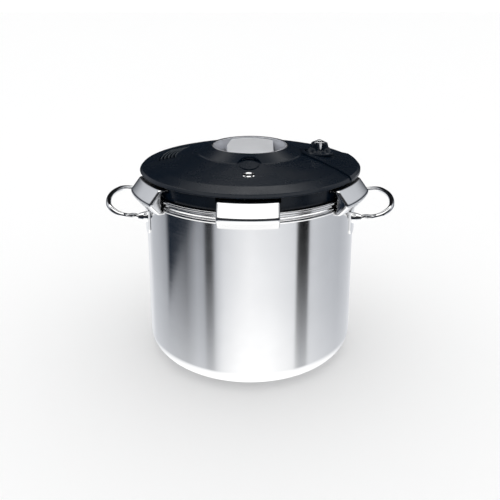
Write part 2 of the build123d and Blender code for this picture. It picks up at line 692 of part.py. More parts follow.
def indicator_pin():
    low = CROWN_Z - LID_SHEET - 9
    head = INDICATOR_HEAD_Z
    pin = turned(
        [(0, low), (INDICATOR_PIN_R, low), (INDICATOR_PIN_R, head), (INDICATOR_HEAD_R, head),
         (INDICATOR_HEAD_R, head + 2.2), (0, head + 2.2)],
        [0, 0.5, 0, 0.3, 1.6, 0],
    )
    return Pos(0, -GUIDE_ORBIT_R, 0) * pin


def indicator_spot():
    """The place on the cover's slope where the indicator comes through."""
    return Pos(0, -GUIDE_ORBIT_R, on_cover(GUIDE_ORBIT_R)) * Rot(degrees(atan(COVER_SLOPE)), 0, 0)


def indicator_ring():
    """Bright eyelet pressed into the cover around the indicator, tilted to the cover's slope."""
    inner = INDICATOR_HEAD_R + 1.0
    lip_r = EYELET_R + EYELET_LIP
    eyelet = turned(
        [(inner, -3.2), (EYELET_R, -3.2), (EYELET_R, 0.15), (lip_r, 0.15), (lip_r, 0.9), (inner, 0.9)],
        [0, 0, 0, 0.2, 0.3, 0.3],
    )
    return indicator_spot() * eyelet


# ---- safety valve ----
def safety_body():
    under = CROWN_Z - LID_SHEET
    outer = turned(
        [(0, under - 7), (SAFETY_SPIGOT_R, under - 7), (SAFETY_SPIGOT_R, CROWN_Z), (SAFETY_R, CROWN_Z),
         (SAFETY_R, CROWN_Z + 14), (0, CROWN_Z + 14)],
        [0, 0.5, 0, 0, 1.0, 0],
    )
    inlet = disc(2.2, under - 9, CROWN_Z + 4)
    chamber = disc(6.4, CROWN_Z + 3, CROWN_Z + 11)
    outlet = disc(3.0, CROWN_Z + 10, CROWN_Z + 16)
    return Pos(SAFETY_X, 0, 0) * (outer - [inlet, chamber, outlet])


def safety_nut():
    under = CROWN_Z - LID_SHEET
    return Pos(SAFETY_X, 0, 0) * hex_nut(SAFETY_SPIGOT_R + 4, SAFETY_SPIGOT_R + TOUCH, under - 5.5, under)


def safety_poppet():
    low = CROWN_Z + 3.1
    return Pos(SAFETY_X, 0, 0) * turned(
        [(0, low), (5.6, low), (5.6, low + 2), (2.2, low + 2), (2.2, CROWN_Z + 15), (0, CROWN_Z + 15)],
        [0, 0.3, 0.3, 0, 0.6, 0],
    )


def safety_spring():
    return Pos(SAFETY_X, 0, 0) * coil(4.3, 0.5, CROWN_Z + 5.2, CROWN_Z + 10.9, 4)


PIECES = [
    pot_body, base_core, base_cap, handle_collars, rack_plate, rack_feet, lid_dome, lid_seal, pivot_stud,
    retaining_washer, retaining_nut, guide_studs, cam_plate, pivot_bush, grip_hub, grip_cup, grip_bar,
    cover_shell, cover_posts, valve_body, valve_nut, valve_seal, valve_plunger, valve_spring, valve_knob,
    lock_button, lock_spring, indicator_body, indicator_nut, indicator_seal, indicator_pin, indicator_ring,
    safety_body, safety_nut, safety_poppet, safety_spring,
]

os.makedirs("parts", exist_ok=True)
for piece in PIECES:
    save(piece.__name__, piece())
for side, word in ((1, "right"), (-1, "left")):
    save(f"handle_plate_{word}", handle_plate(side))
    save(f"handle_rod_{word}", handle_rod(side))
jaw = jaw_blank()
pin = Pos(PIN_ORBIT_R, 0, 0) * jaw_pin()
for number, azimuth in enumerate(JAW_AZIMUTHS, 1):
    save(f"jaw_{number}", Rot(0, 0, azimuth) * jaw)
    save(f"jaw_pin_{number}", Rot(0, 0, azimuth) * pin)
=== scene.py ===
import json

import bpy
import numpy as np
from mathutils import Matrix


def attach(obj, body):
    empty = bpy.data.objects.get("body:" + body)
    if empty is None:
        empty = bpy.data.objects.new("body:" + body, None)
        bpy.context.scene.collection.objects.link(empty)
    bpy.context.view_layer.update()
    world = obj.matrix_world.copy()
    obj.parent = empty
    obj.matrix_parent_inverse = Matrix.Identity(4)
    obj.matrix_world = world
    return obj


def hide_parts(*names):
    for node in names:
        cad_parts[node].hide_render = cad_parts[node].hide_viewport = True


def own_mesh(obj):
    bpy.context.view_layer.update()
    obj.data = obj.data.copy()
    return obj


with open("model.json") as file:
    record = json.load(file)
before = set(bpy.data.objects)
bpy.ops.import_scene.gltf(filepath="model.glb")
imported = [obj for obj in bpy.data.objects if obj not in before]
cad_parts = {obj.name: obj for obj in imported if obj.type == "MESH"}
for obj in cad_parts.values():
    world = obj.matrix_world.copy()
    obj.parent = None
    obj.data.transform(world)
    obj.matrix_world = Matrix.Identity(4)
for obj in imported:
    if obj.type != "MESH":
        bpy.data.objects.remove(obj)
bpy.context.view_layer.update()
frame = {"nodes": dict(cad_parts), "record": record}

MM = 0.001
TAU = 2 * np.pi
SHARP = 38.0  # degrees: edges folded more than this stay crisp when shaded


# ---- node materials ----
def add_node(tree, kind, links=(), **values):
    """Adds a node with its settings; each input is linked to a socket or given a plain value."""
    node = tree.nodes.new(kind)
    for key, value in values.items():
        setattr(node, key, value)
    for socket, source in links:
        if isinstance(source, bpy.types.NodeSocket):
            tree.links.new(source, node.inputs[socket])
        else:
            node.inputs[socket].default_value = source
    return node


class Shader:
    """A small helper that adds nodes to a material and links them."""

    def __init__(self, name):
        self.material = bpy.data.materials.new(name)
        self.material.use_nodes = True
        self.tree = self.material.node_tree
        self.surface = self.tree.nodes["Principled BSDF"]
        self.coordinates = self.add("ShaderNodeTexCoord").outputs["Object"]

    def add(self, kind, links=(), **values):
        return add_node(self.tree, kind, links, **values)

    def noise(self, stretch, scale, detail=3.0, rough=0.55):
        """Noise in the piece's own space, stretched along each axis."""
        mapping = self.add("ShaderNodeMapping", [("Vector", self.coordinates), ("Scale", stretch)])
        links = [("Vector", mapping.outputs[0]), ("Scale", scale), ("Detail", detail), ("Roughness", rough)]
        return self.add("ShaderNodeTexNoise", links).outputs["Fac"]

    def spread(self, source, low, high, start=0.3, stop=0.7):
        """Maps a noise value to a range."""
        links = [("Value", source), ("From Min", start), ("From Max", stop)]
        links += [("To Min", low), ("To Max", high)]
        return self.add("ShaderNodeMapRange", links).outputs[0]

    def blend(self, source, first, second):
        """A colour between two, by a value."""
        links = [(0, source), (6, (*first, 1)), (7, (*second, 1))]
        return self.add("ShaderNodeMix", links, data_type="RGBA").outputs[2]

    def bump(self, height, strength, distance):
        """A bump from a height value, its depth in millimetres."""
        links = [("Height", height), ("Strength", strength), ("Distance", distance * MM)]
        return self.add("ShaderNodeBump", links)

    def connect(self, **sources):
        """Links or sets inputs of the surface by name."""
        for name, source in sources.items():
            socket = self.surface.inputs[name.replace("_", " ")]
            if isinstance(source, bpy.types.NodeSocket):
                self.tree.links.new(source, socket)
            else:
                socket.default_value = source


def steel(name, light, dark, low, high, stretch, grain=0.12, drawn=0.0):
    """Metal with a fine grain, cloudy wear in its roughness and faint stains in its colour; drawn is how
    strongly its highlights stretch upright."""
    shader = Shader(name)
    lines = shader.noise(stretch, 1.0, 2.0)
    cloud = shader.noise((1, 1, 1), 22.0, 4.0)
    tone = shader.blend(shader.spread(cloud, 0, 1), light, dark)
    fine = shader.spread(lines, -0.03, 0.03)
    rough = shader.add("ShaderNodeMath", [(0, shader.spread(cloud, low, high)), (1, fine)], operation="ADD")
    bump = shader.bump(lines, grain, 0.02)
    shader.connect(Base_Color=tone, Metallic=1.0, Roughness=rough.outputs[0], Normal=bump.outputs[0])
    if drawn:
        tangent = shader.add("ShaderNodeTangent", direction_type="RADIAL", axis="Z")
        shader.connect(Anisotropic=drawn, Anisotropic_Rotation=0.25, Tangent=tangent.outputs[0])
    return shader.material


def plastic(name, light, dark, rough, grain, size, shine=0.5):
    """Moulded plastic with a fine spark-eroded grain and rubbed patches."""
    shader = Shader(name)
    pores = shader.noise((1, 1, 1), size, 2.0)
    cloud = shader.noise((1, 1, 1), 16.0, 5.0)
    tone = shader.blend(shader.spread(cloud, 0, 1), light, dark)
    bump = shader.bump(pores, grain, 0.08)
    shader.connect(Base_Color=tone, Roughness=shader.spread(cloud, rough - 0.05, rough + 0.06))
    shader.connect(Normal=bump.outputs[0], Specular_IOR_Level=shine)
    return shader.material


BODY_STEEL = steel(
    "body_steel", (0.82, 0.82, 0.82), (0.79, 0.79, 0.79), 0.115, 0.145, (14, 14, 1600), 0.07, drawn=0.6
)
SATIN_STEEL = steel("satin_steel", (0.82, 0.82, 0.82), (0.78, 0.78, 0.78), 0.30, 0.38, (60, 900, 60), 0.03)
JAW_STEEL = steel("jaw_steel", (0.84, 0.84, 0.84), (0.81, 0.81, 0.81), 0.12, 0.17, (60, 60, 60), 0.02)
LID_STEEL = steel("lid_steel", (0.84, 0.84, 0.84), (0.78, 0.78, 0.78), 0.13, 0.19, (14, 14, 900), 0.05)
GRIP_STEEL = steel("grip_steel", (0.92, 0.93, 0.95), (0.89, 0.90, 0.92), 0.56, 0.62, (60, 900, 60), 0.03)
# The bowl's steel is a darker copy of the satin steel: painted shade for the recess under the hand bar.
BOWL_STEEL_PAINTED_SHADE = steel("bowl_steel_painted_shade", (0.74, 0.75, 0.78), (0.70, 0.71, 0.74), 0.40, 0.46, (60, 60, 900), 0.03)
BRIGHT_STEEL = steel("bright_steel", (0.88, 0.88, 0.88), (0.84, 0.84, 0.84), 0.05, 0.09, (60, 60, 60), 0.02)
SPRING_STEEL = steel("spring_steel", (0.50, 0.50, 0.52), (0.40, 0.40, 0.42), 0.28, 0.36, (500, 500, 500), 0.1)
ALUMINIUM = steel("core_aluminium", (0.80, 0.80, 0.81), (0.72, 0.72, 0.73), 0.32, 0.42, (400, 400, 400), 0.1)
BRONZE = steel("bush_bronze", (0.62, 0.47, 0.26), (0.52, 0.38, 0.2), 0.28, 0.38, (400, 400, 400), 0.1)
BLACK = plastic("black_plastic", (0.0022, 0.006, 0.0125), (0.0016, 0.005, 0.0105), 0.27, 0.3, 1500.0, 0.25)
# Lighter grey plastic for the vent ribs: a painted sheen that stands in for the highlights the ribs catch.
PAINTED_SHEEN_PLASTIC = plastic("painted_sheen_plastic", (0.06, 0.07, 0.08), (0.045, 0.052, 0.06), 0.35, 0.2, 1500.0, 0.4)
RUBBER = plastic("seal_rubber", (0.42, 0.42, 0.40), (0.34, 0.34, 0.33), 0.6, 0.3, 900.0)

FINISH = {
    "stainless_steel": BODY_STEEL, "satin_steel": SATIN_STEEL, "polished_steel": BRIGHT_STEEL,
    "spring_steel": SPRING_STEEL, "core_aluminium": ALUMINIUM, "black_plastic": BLACK,
    "seal_rubber": RUBBER, "bush_bronze": BRONZE,
}
SLOT_OF = {part["node"]: part["material_slot"] for part in frame["record"]["subparts"]}
for node_name, node in frame["nodes"].items():
    node.data.materials.clear()
    node.data.materials.append(FINISH[SLOT_OF[node_name]])


# ---- surfaces ----
def rounded(points, radii, closed=False, steps=7):
    """A polyline with corners made round: each corner gives way to the circular arc tangent to its two
    sides, with a support point just outside each end of the arc so that flat runs stay flat when shaded."""
    points = np.asarray(points, float)
    radii = np.broadcast_to(radii, (len(points),))
    out = []
    for i, (corner, radius) in enumerate(zip(points, radii)):
        before = points[i - 1] - corner
        after = points[(i + 1) % len(points)] - corner
        if radius <= 0 or (not closed and i in (0, len(points) - 1)):
            out.append(corner[None])
            continue
        u = before / np.linalg.norm(before)
        v = after / np.linalg.norm(after)
        half = 0.5 * np.arccos(np.clip(u @ v, -1, 1))
        tangent = radius / np.tan(half)
        centre = corner + (u + v) / np.linalg.norm(u + v) * radius / np.sin(half)
        start = corner + u * tangent - centre
        stop = corner + v * tangent - centre
        sweep = np.arccos(np.clip(start @ stop / radius**2, -1, 1))
        t = np.linspace(0, 1, steps + 1)[:, None]
        arc = centre + (np.sin((1 - t) * sweep) * start + np.sin(t * sweep) * stop) / np.sin(sweep)
        lead = min(0.15 * radius, 0.5)
        out += [(corner + u * (tangent + lead))[None], arc, (corner + v * (tangent + lead))[None]]
    return np.concatenate(out)


def refine(line, parts, closed=False):
    """Cuts each side of a polyline into equal parts; an open line ends at its last point."""
    share = np.linspace(0, 1, parts + 1)[:-1, None]
    sides = np.roll(line, -1, 0) - line
    cut = (line[:, None] + sides[:, None] * share).reshape(-1, line.shape[1])
    return cut if closed else cut[: len(cut) - parts + 1]


def cells(rows, columns, wrap_rows=False, wrap_columns=False):
    """The four-sided faces of a grid of points, by index arithmetic."""
    i = np.arange(rows if wrap_rows else rows - 1)[:, None]
    j = np.arange(columns if wrap_columns else columns - 1)[None, :]
    low = i * columns + j
    low_next = i * columns + (j + 1) % columns
    high = (i + 1) % rows * columns + j
    high_next = (i + 1) % rows * columns + (j + 1) % columns
    return np.stack([low, low_next, high_next, high], -1).reshape(-1, 4)


class Shape:
    """Points and faces gathered from one or more surfaces."""

    def __init__(self):
        self.points = []
        self.faces = []
        self.count = 0

    def grid(self, points, wrap_rows=False, wrap_columns=False, caps=(), flip=False):
        """Adds a grid of points (rows, columns, 3); caps closes the named end rows with one face each."""
        rows, columns = points.shape[:2]
        faces = cells(rows, columns, wrap_rows, wrap_columns)
        last = (rows - 1) * columns
        ends = {"first": list(range(columns))[::-1], "last": list(range(last, last + columns))}
        found = faces.tolist() + [ends[name] for name in caps]
        found = [face[::-1] for face in found] if flip else found
        self.faces += [[k + self.count for k in face] for face in found]
        self.points.append(points.reshape(-1, 3))
        self.count += rows * columns
        return self

    def fan(self, ring_start, ring_size, point, flip=False):
        """Closes a ring of points already added with a fan of triangles to one new point."""
        tip = self.count
        self.points.append(np.asarray(point, float).reshape(1, 3))
        self.count += 1
        around = [[ring_start + k, ring_start + (k + 1) % ring_size, tip] for k in range(ring_size)]
        self.faces += [face[::-1] for face in around] if flip else around
        return self

    def make(self, name, body, material, nodes=(), slot=None, turned=0.0):
        """Builds one mesh piece in metres, turned about Z by an angle, and lets it ride on a body."""
        c, s = np.cos(turned), np.sin(turned)
        points = np.concatenate(self.points) * MM @ np.array([[c, s, 0], [-s, c, 0], [0, 0, 1]])
        mesh = bpy.data.meshes.new(name)
        mesh.from_pydata(points.tolist(), [], self.faces)
        mesh.validate()
        mesh.shade_smooth()
        mesh.set_sharp_from_angle(angle=np.radians(SHARP))
        mesh.materials.append(material)
        piece = bpy.data.objects.new(name, mesh)
        bpy.context.scene.collection.objects.link(piece)
        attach(piece, body)
        if nodes:
            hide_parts(*nodes)
        return piece


def lathe(profile, closed=False, segments=192, shape=None, place=None):
    """Surface of revolution: each profile point (r, z) becomes the ring (r cos a, r sin a, z); an open
    profile starts and ends on the axis, where its ring is a single point."""
    profile = np.asarray(profile, float)
    shape = shape or Shape()
    angle = np.linspace(0, TAU, segments, endpoint=False)
    ring = profile if closed else profile[1:-1]
    r = ring[:, 0][:, None]
    z = np.broadcast_to(ring[:, 1][:, None], (len(ring), segments))
    points = np.stack([r * np.cos(angle), r * np.sin(angle), z], -1)
    poles = [np.array([0, 0, profile[0, 1]]), np.array([0, 0, profile[-1, 1]])]
    if place is not None:
        points = place(points)
        poles = [place(pole) for pole in poles]
    start = shape.count
    shape.grid(points, wrap_rows=closed, wrap_columns=True)
    if not closed:
        shape.fan(start, segments, poles[0], flip=True)
        shape.fan(start + (len(ring) - 1) * segments, segments, poles[1])
    return shape


def rod(path, radius, sides=28):
    """Round bar along a path: circles of one radius, each set square to the path's direction at its point."""
    path = np.asarray(path, float)
    ahead = np.gradient(path, axis=0)
    ahead /= np.linalg.norm(ahead, axis=1)[:, None]
    level = np.cross(ahead, [0.0, 0.0, 1.0])
    level /= np.linalg.norm(level, axis=1)[:, None]
    upright = np.cross(level, ahead)
    angle = np.linspace(0, TAU, sides, endpoint=False)[None, :, None]
    ring = path[:, None] + radius * (np.cos(angle) * level[:, None] + np.sin(angle) * upright[:, None])
    return Shape().grid(ring, wrap_columns=True, caps=("first", "last"), flip=True)


def slab(outline, low, high, edge, steps=4, place=None, shape=None):
    """Plate with eased edges: the closed outline is stacked between two heights, and near each face it
    moves inwards along its own normals by edge * (1 - cos t) while the height moves by edge * (1 - sin t);
    a place given for the points is taken to mirror them."""
    outline = np.asarray(outline, float)
    along = np.roll(outline, -1, 0) - np.roll(outline, 1, 0)
    along /= np.linalg.norm(along, axis=1)[:, None]
    x, y = outline[:, 0], outline[:, 1]
    area = 0.5 * np.sum(x * np.roll(y, -1) - np.roll(x, -1) * y)
    inward = np.stack([-along[:, 1], along[:, 0]], 1) * np.sign(area)
    t = np.linspace(np.pi / 2, 0, steps + 1)
    inset = np.concatenate([edge * (1 - np.cos(t)), edge * (1 - np.cos(t[::-1]))])
    level = np.concatenate([low + edge * (1 - np.sin(t)), high - edge * (1 - np.sin(t[::-1]))])
    plan = outline[None] + inward[None] * inset[:, None, None]
    height = np.broadcast_to(level[:, None, None], (*plan.shape[:2], 1))
    points = np.concatenate([plan, height], -1)
    if place is not None:
        points = place(points)
    shape = shape or Shape()
    flip = bool(area < 0) != (place is not None)
    return shape.grid(points, wrap_columns=True, caps=("first", "last"), flip=flip)


# ---- pot ----
POT_R = 161.2
POT_IN = 160.0
RIM_Z = 258.0
RIM_R = 167.0
HANDLE_Y = 48.0
HANDLE_Z = 221.0
HANDLE_TILT = np.radians(20.0)
COLLAR_X = 158.54
LOOP_X = 167.54
BAR_R = 4.0


def pot_body():
    """Deep pressing with a large bottom radius and a rolled bead round its mouth."""
    line = rounded(
        [(0, 3.8), (POT_R, 3.8), (POT_R, 252.2), (RIM_R, 252.0), (RIM_R, RIM_Z), (POT_IN, RIM_Z),
         (POT_IN, 5.0), (0, 5.0)],
        [0, 25.0, 1.4, 2.9, 2.9, 1.0, 23.8, 0], steps=10,
    )
    return lathe(line, segments=256)


def handle_loop(side):
    """Round bar bent into a waisted loop and tilted up at its tip."""
    half = [(-1.0, HANDLE_Y), (7.0, HANDLE_Y), (19.0, 68.0), (47.0, 52.0)]
    corners = [(x, -y) for x, y in half] + [(60.0, 0)] + half[::-1]
    flat = rounded(corners, [0, 11, 16, 36, 130, 36, 16, 11, 0], steps=12)
    x = LOOP_X + flat[:, 0] * np.cos(HANDLE_TILT)
    z = HANDLE_Z + flat[:, 0] * np.sin(HANDLE_TILT)
    return rod(np.stack([side * x, side * flat[:, 1], z], 1), BAR_R)


def handle_collars():
    """Turned bosses, each a small cone lying along X against the handle's plate."""
    line = rounded([(0, -6.0), (8.0, -6.0), (8.0, 0.6), (5.3, 9.0), (0, 9.0)], [0, 0, 1.6, 0.9, 0])
    shape = Shape()
    for side in (1, -1):
        for y in (-HANDLE_Y, HANDLE_Y):
            def place(p, side=side, y=y):
                x = side * (COLLAR_X + p[..., 2])
                return np.stack([x, y + side * p[..., 0], HANDLE_Z + p[..., 1]], -1)
            lathe(line, segments=48, shape=shape, place=place)
    return shape


# ---- lid ----
def lid_dome():
    """Pressed lid: flat crown, sloping shoulder, rolled and waisted flange, with a groove for the seal."""
    top, seat = 269.2, 258.4
    line = rounded(
        [(0, 278.6), (125.6, 278.6), (148.2, 266.4), (156.4, 266.3), (156.4, 259.8), (158.2, 259.8),
         (158.2, 265.0), (162.9, 265.0), (162.9, seat), (166.6, seat), (166.6, 259.8), (164.6, 261.6),
         (164.6, 263.8), (167.0, 266.4), (167.0, top), (163.8, top), (160.5, 268.0), (148.0, 268.8),
         (126.0, 281.0), (0, 281.0)],
        [0, 6, 5, 0.3, 0.3, 0.3, 0.4, 0.4, 0.3, 0.5, 0.6, 0.8, 0.8, 1.3, 1.3, 1.2, 1.6, 6, 8, 0], steps=6,
    )
    return lathe(line, segments=256)


# ---- jaws ----
JAW_W = 41.5
JAW_T = 3.0
ARM_LOW = 282.02
ARM_HIGH = 284.98
SLOT_MID = 106.5
SLOT_HALF = 6.5
SLOT_R = 9.08


def bent(points):
    """Wraps plan points about the lid's axis: a point at radius r and offset y has x = sqrt(r^2 - y^2)."""
    r, y, z = points[..., 0], points[..., 1], points[..., 2]
    return np.stack([np.sqrt(r**2 - y**2), y, z], -1)


def jaw_strip(shape):
    """Bent strip: a flat bar section, three millimetres thick with its upper side edges turned to quarter
    circles, is carried along the jaw's folded centre line and widens over the first ten millimetres."""
    line = rounded(
        [(136.0, 283.5), (169.1, 283.5), (184.3, 264.6), (172.0, 250.0), (163.9, 250.0)],
        [0, 5.0, 5.0, 4.0, 0], steps=9,
    )
    line = refine(line, 3)
    ahead = np.gradient(line, axis=0)
    ahead /= np.linalg.norm(ahead, axis=1)[:, None]
    normal = np.stack([-ahead[:, 1], ahead[:, 0]], 1)
    wide = np.interp(line[:, 0], [136.0, 146.0], [36.5, JAW_W])
    edge = 2.6
    t = np.linspace(0, np.pi / 2, 7)
    half_t = 0.5 * JAW_T
    corner_y = np.concatenate([-edge + edge * np.sin(t), [0, 0, -0.4]])
    corner_d = np.concatenate([half_t - edge * (1 - np.cos(t)), [-0.5, -half_t + 0.4, -half_t]])
    across = np.linspace(-1, 1, 15)[1:-1]
    level = np.zeros(len(across))
    full = np.ones(len(corner_y))
    y = np.concatenate([level, corner_y, level, -corner_y[::-1]])
    share = np.concatenate([across, full, -across, -full])
    inset = np.concatenate([level + edge, 0 * full, level + edge, 0 * full])
    d = np.concatenate([level + half_t, corner_d, level - half_t, corner_d[::-1]])
    span = share * (wide[:, None] - inset) + y
    r = line[:, 0][:, None] + normal[:, 0][:, None] * d
    z = line[:, 1][:, None] + normal[:, 1][:, None] * d
    shape.grid(bent(np.stack([r, span, z], -1)), wrap_columns=True, caps=("first", "last"), flip=True)


def jaw_webs(shape):
    """End webs: upright plates under the strip's sides, their inner edge waved round the two beads."""
    outline = rounded(
        [(166.2, 282.6), (169.0, 282.6), (182.4, 264.6), (171.6, 251.3), (165.6, 251.3), (168.6, 253.5),
         (169.4, 259.5), (168.6, 263.7), (170.4, 267.7), (168.6, 275.2)],
        [0.5, 2.5, 3.5, 2.5, 0.8, 2.0, 2.5, 2.0, 2.5, 6.0], closed=True, steps=5,
    )
    for side in (1, -1):
        def place(p, side=side):
            return bent(np.stack([p[..., 0], side * p[..., 2], p[..., 1]], -1))
        before = len(shape.faces)
        slab(outline, JAW_W - 2.7, JAW_W - 0.25, 0.5, place=place, shape=shape)
        if side < 0:
            shape.faces[before:] = [face[::-1] for face in shape.faces[before:]]


def jaw_arm(shape):
    """Flat arm under the cover with the slot that runs on its guide stud; both outlines share one parameter,
    and the plate is ruled between them."""
    outer = rounded(
        [(46.0, -20.0), (118.0, -20.0), (137.5, -37.0), (137.5, 37.0), (118.0, 20.0), (46.0, 20.0)],
        [4, 12, 0.5, 0.5, 12, 4], closed=True, steps=6,
    )
    outer = refine(outer, 5, closed=True)
    aim = np.arctan2(outer[:, 1], outer[:, 0] - SLOT_MID)
    c, s = np.cos(aim), np.sin(aim)
    flat = SLOT_R / np.maximum(np.abs(s), 1e-6)
    root = SLOT_HALF * np.abs(c) + np.sqrt(np.maximum(SLOT_R**2 - (SLOT_HALF * s) ** 2, 0))
    reach = np.where(flat * np.abs(c) <= SLOT_HALF, flat, root)
    slot = np.stack([SLOT_MID + reach * c, reach * s], 1)
    rings = [(outer, ARM_LOW), (outer, ARM_HIGH), (slot, ARM_HIGH), (slot, ARM_LOW)]
    points = np.stack([np.column_stack([plan, np.full(len(plan), z)]) for plan, z in rings])
    shape.grid(points, wrap_rows=True, wrap_columns=True, flip=True)


def jaw():
    """One clamping jaw: strip, end webs and slotted arm, lying along X."""
    shape = Shape()
    jaw_strip(shape)
    jaw_webs(shape)
    jaw_arm(shape)
    return shape


# ---- grip ----
CUP_TOP = 322.8
BAR_LOW = 307.8
BAR_TOP = 320.8
BAR_HALF = 36.0
BAR_END = 41.5
BAR_REACH = 55.2


def grip_cup():
    """Spun cup with a rolled rim, in the cover's hole."""
    line = rounded(
        [(12.8, 297.0), (49.2, 297.0), (56.4, 320.4), (57.9, 320.8), (57.9, CUP_TOP), (55.6, CUP_TOP),
         (55.4, 321.0), (48.2, 298.5), (12.8, 298.5)],
        [0.3, 5.2, 0.8, 0.5, 1.0, 1.0, 0.6, 4.2, 0.3], closed=True, steps=6,
    )
    return lathe(line, closed=True, segments=192)


def grip_bar():
    """Hand bar across the cup: one side is a parabola bowed outwards, the other is straight, and between
    them the ends run near the cup's wall, their radius changing evenly with the angle."""
    y = 0.905 * BAR_REACH * np.linspace(1, -1, 41)
    left = np.stack([-BAR_HALF + 9.0 * (y / 57.0) ** 2, y], 1)
    right = np.stack([np.full(31, BAR_HALF), np.linspace(-BAR_END, BAR_END, 31)], 1)
    share = np.linspace(0, 1, 24)[1:-1]
    angle = np.linspace(np.arctan2(left[-1, 1], left[-1, 0]), np.arctan2(-BAR_END, BAR_HALF), 24)[1:-1]
    radius = np.hypot(*left[-1]) + (np.hypot(BAR_HALF, BAR_END) - np.hypot(*left[-1])) * share
    front = np.stack([radius * np.cos(angle), radius * np.sin(angle)], 1)
    back = front[::-1] * [1, -1]
    outline = np.concatenate([left, front, right, back])
    return slab(outline, BAR_LOW, BAR_TOP, 1.8, steps=5)


# ---- valve dial ----
VALVE_X = 107.0
DIAL_BASE = 308.84
DIAL_CROWN = 326.3


def valve_knob():
    """Scalloped dial: a stepped profile is turned about its post while eight grooves, each the square of a
    raised cosine of the turn angle, draw its wall in, and one wide gap at the front, eased at both ends,
    lowers its crown so that the post shows."""
    base, crown = DIAL_BASE, DIAL_CROWN
    line = rounded(
        [(8.6, base), (21.4, base), (21.2, base + 2.8), (18.4, base + 4.4), (15.8, base + 9.4),
         (14.2, base + 10.4), (12.9, crown - 1.6), (12.2, crown), (8.6, crown)],
        [0.3, 0.9, 0.8, 1.0, 1.0, 0.8, 0.8, 0.6, 0.4], closed=True, steps=5,
    )
    angle = np.linspace(0, TAU, 320, endpoint=False)[None]
    groove = (0.5 + 0.5 * np.cos(8 * angle + np.pi)) ** 2
    front = np.clip(1.6 - np.abs((angle + np.pi / 2 + np.pi) % TAU - np.pi) / 0.42, 0, 1)
    front = front**2 * (3 - 2 * front)
    r, z = line[:, 0][:, None], line[:, 1][:, None]
    rise = np.clip((z - base - 4.0) / (crown - base - 4.0), 0, 1)
    outer = np.clip((r - 9.4) / 3.0, 0, 1)
    radius = r - 1.3 * groove * np.minimum(1, rise * 4.0) * outer
    height = z - 10.5 * front * rise
    points = np.stack([VALVE_X + radius * np.cos(angle), radius * np.sin(angle), height], -1)
    return Shape().grid(points, wrap_rows=True, wrap_columns=True)


# ---- small things on the cover ----
SLOPE_TOP_R = 81.5
SLOPE_TOP_Z = 312.1
SLOPE_LOW_R = 146.0
SLOPE_LOW_Z = 299.8
INDICATOR_R = 113.0
BUTTON_Y = -84.0


def slope_z(r):
    """Height of the cover's plain slope at a radius: a straight line between its two edges."""
    share = (r - SLOPE_TOP_R) / (SLOPE_LOW_R - SLOPE_TOP_R)
    return SLOPE_TOP_Z + (SLOPE_LOW_Z - SLOPE_TOP_Z) * share


def tilted(r, z, azimuth):
    """Places a small turned shape at a radius and azimuth, leaning so that it stands square to the slope."""
    lean = np.arctan2(SLOPE_TOP_Z - SLOPE_LOW_Z, SLOPE_LOW_R - SLOPE_TOP_R)

    def place(p):
        x = p[..., 0] * np.cos(lean) + p[..., 2] * np.sin(lean) + r
        up = p[..., 2] * np.cos(lean) - p[..., 0] * np.sin(lean) + z
        c, s = np.cos(azimuth), np.sin(azimuth)
        return np.stack([x * c - p[..., 1] * s, x * s + p[..., 1] * c, up], -1)

    return place


def indicator_ring():
    """Thin turned eyelet in the cover: a short sleeve with a narrow, sloping flange lying on the slope."""
    line = rounded(
        [(7.0, -3.2), (7.8, -3.2), (7.8, 0.1), (8.5, 0.1), (8.3, 0.35), (7.0, 0.8)],
        [0, 0, 0, 0.1, 0.15, 0.1], closed=True, steps=4,
    )
    place = tilted(INDICATOR_R, slope_z(INDICATOR_R), -np.pi / 2)
    return lathe(line, closed=True, segments=64, place=place)


def indicator_pin():
    """Indicator: a stem turned with a low domed head."""
    base = slope_z(INDICATOR_R) - 2.6
    line = rounded(
        [(0, 269.6), (3.0, 269.6), (3.0, base), (6.0, base), (6.0, base + 1.3), (3.6, base + 2.1),
         (0, base + 2.3)],
        [0, 0.5, 0, 0.2, 0.5, 3.0, 0],
    )
    return lathe(line, segments=64, place=lambda p: p + np.array([0, -INDICATOR_R, 0]))


def louvre_ribs():
    """Thin raised ribs on the slope: beads of oval section along arcs about the lid's axis, their size
    falling away at both ends."""
    shape = Shape()
    for k in range(5):
        start, stop = 151.0 + 1.5 * k, 187.0 - 0.5 * k
        angle = np.radians(np.linspace(start, stop, 40))
        radius = 115.2 + 5.5 * k
        size = 0.75 * np.sqrt(np.clip(1 - np.linspace(-1, 1, 40) ** 6, 0.02, 1))[:, None]
        t = np.linspace(0, TAU, 12, endpoint=False)
        r = radius + size * np.cos(t)
        z = slope_z(radius) + 0.15 + 0.9 * size * np.sin(t)
        points = np.stack([r * np.cos(angle)[:, None], r * np.sin(angle)[:, None], z], -1)
        shape.grid(points, wrap_columns=True, caps=("first", "last"), flip=True)
    return shape


def spring(name, node, centre, mean, wire, low, high, turns):
    """Coil spring: round wire along a helix, its height rising evenly with the angle."""
    angle = np.linspace(0, TAU * turns, 36 * turns + 1)
    height = np.linspace(low + wire, high - wire, len(angle))
    path = np.stack([centre[0] + mean * np.cos(angle), centre[1] + mean * np.sin(angle), height], 1)
    piece = rod(path, wire, sides=10).make(name, "lid", SPRING_STEEL, [node], "spring_steel")
    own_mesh(piece)


